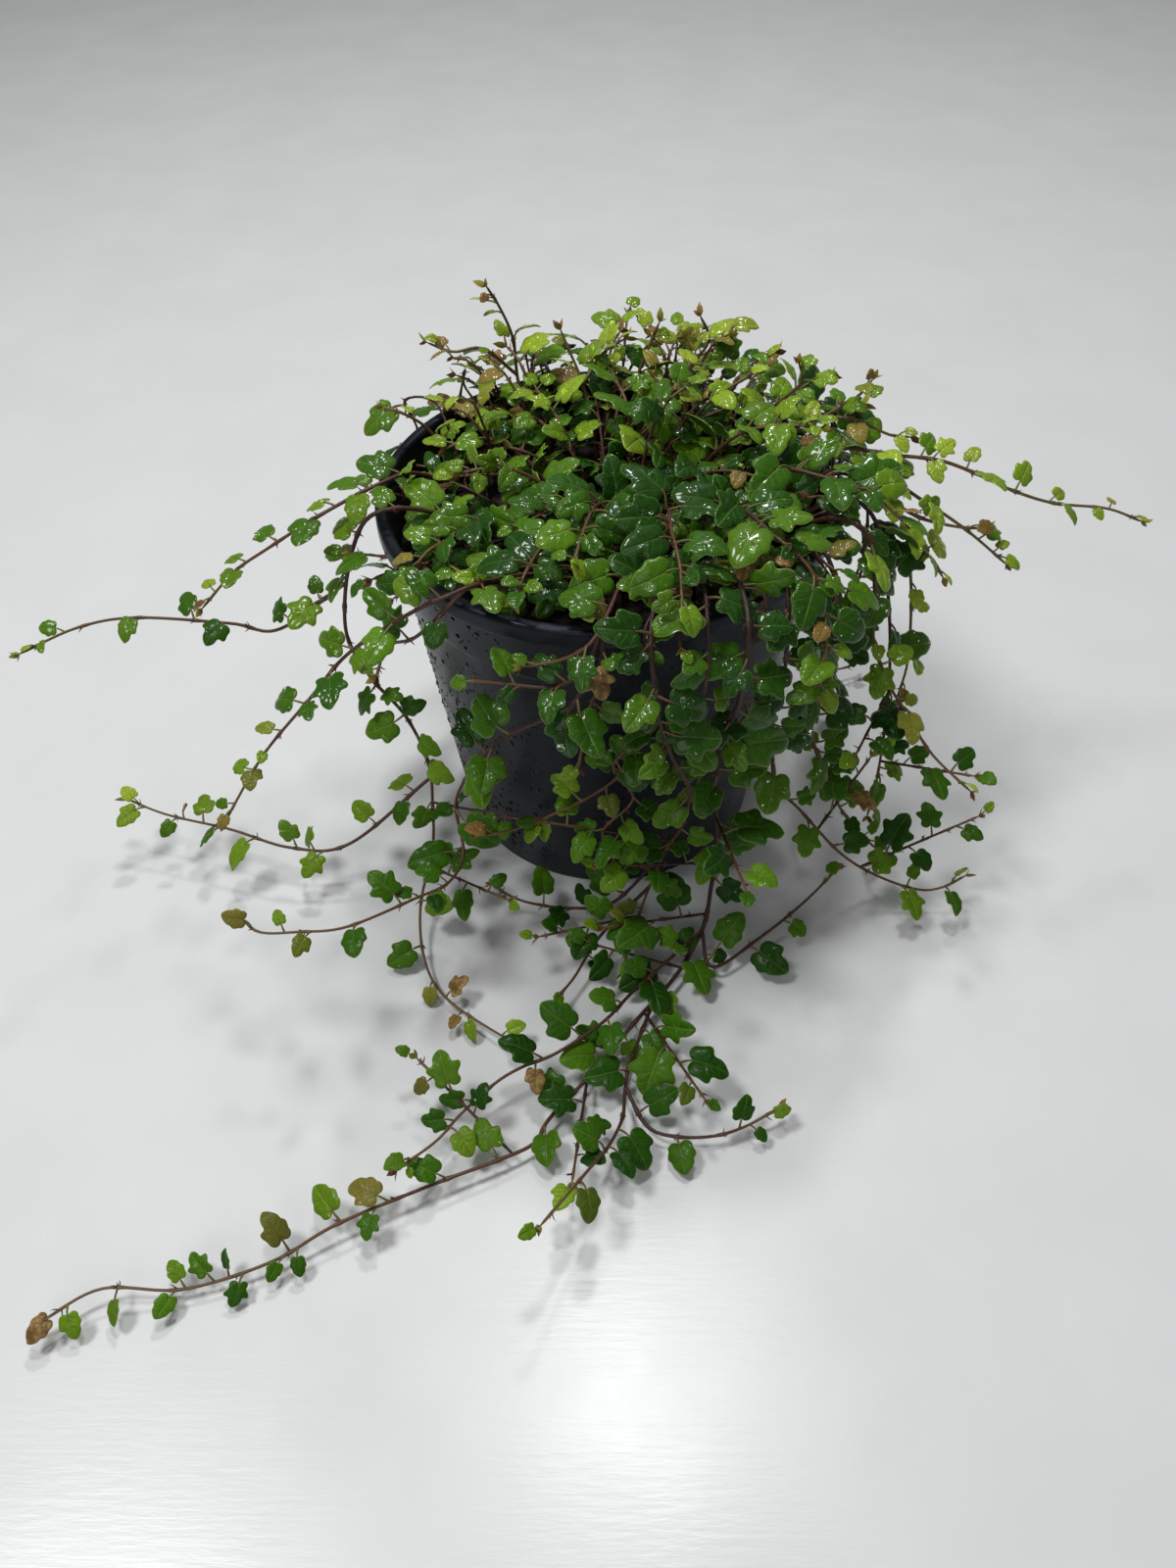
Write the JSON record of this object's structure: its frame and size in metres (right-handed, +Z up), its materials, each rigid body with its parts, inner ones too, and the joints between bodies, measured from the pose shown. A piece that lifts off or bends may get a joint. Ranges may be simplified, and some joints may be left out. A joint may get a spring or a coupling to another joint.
{
  "type": "potted oak leaf creeping fig",
  "caption": "Oak leaf creeping fig in a round nursery pot: wiry stems with small lobed leaves arch over the rim, hang down and trail along the table.",
  "frame": {"origin": "centre of the pot's flat underside, on the table", "axes": "+Z up along the pot's axis, -Y towards the viewer of the picture, +X to the right"},
  "size_m": [0.3985, 0.3428, 0.1893],
  "materials": {
    "pot_plastic": "black injection moulded plastic, satin",
    "potting_soil": "damp dark brown peat and bark crumbs",
    "foliage": "wet mid green leaves, young ones lime to bronze, on brown wiry stems"
  },
  "bodies": {
    "root": {"pot": "pot_plastic", "soil": "potting_soil", "stem_left_rim": "foliage", "stem_left_high": "foliage", "stem_left_front": "foliage", "stem_front_left": "foliage", "stem_front_middle": "foliage", "stem_front_thick": "foliage", "stem_front_sweep": "foliage", "stem_right_front": "foliage", "stem_right_low": "foliage", "stem_right_hanging": "foliage", "stem_right_reach": "foliage", "stem_right_far": "foliage", "stem_right_long": "foliage", "stem_right_high": "foliage", "stem_back_right_tuft": "foliage", "stem_back_lime": "foliage", "stem_back_upright": "foliage", "stem_back_left": "foliage", "stem_left_upper": "foliage", "stem_back_middle": "foliage", "stem_back_brown": "foliage", "stem_back_right": "foliage", "stem_crown_left_front": "foliage", "stem_crown_left_back": "foliage", "stem_crown_front_left": "foliage", "stem_crown_front": "foliage", "stem_crown_front_right": "foliage", "stem_crown_right_front": "foliage", "stem_crown_right": "foliage", "stem_crown_right_back": "foliage", "stem_crown_back_right": "foliage", "stem_crown_back": "foliage", "stem_crown_back_left": "foliage", "stem_crown_left": "foliage", "stem_crown_middle": "foliage", "stem_hanging_right": "foliage", "stem_hanging_back_right": "foliage", "stem_hanging_back_left": "foliage"}
  },
  "joints": []
}
